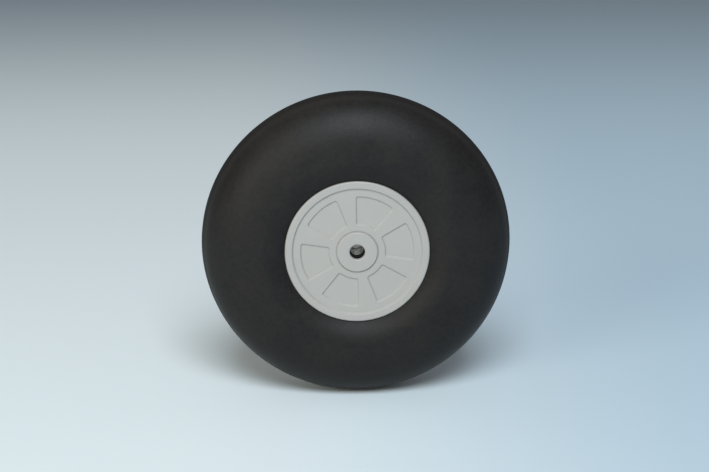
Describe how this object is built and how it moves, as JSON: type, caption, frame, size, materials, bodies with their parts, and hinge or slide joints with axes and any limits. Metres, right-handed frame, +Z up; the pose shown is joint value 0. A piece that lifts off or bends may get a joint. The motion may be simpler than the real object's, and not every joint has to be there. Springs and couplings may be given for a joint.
{
  "type": "model aircraft wheel",
  "caption": "Model aircraft wheel: smooth solid foam tyre on a two-part moulded plastic hub with shallow window panels, a raised boss and a plain bushed axle bore.",
  "frame": {"origin": "the wheel's centre, on the spin axis at mid width", "axes": "+Y along the spin axis, away from the outer face; +Z up; the wheel stands on its tread at -Z"},
  "size_m": [0.095, 0.027, 0.095],
  "materials": {
    "tyre": "smooth moulded foam skin, soft sheen",
    "hub": "light grey, fine satin mould grain",
    "bush": "turned, dull"
  },
  "bodies": {
    "root": {"tyre": "tyre", "hub_half_front": "hub", "hub_half_rear": "hub", "bush_front": "bush", "bush_rear": "bush"}
  },
  "joints": []
}
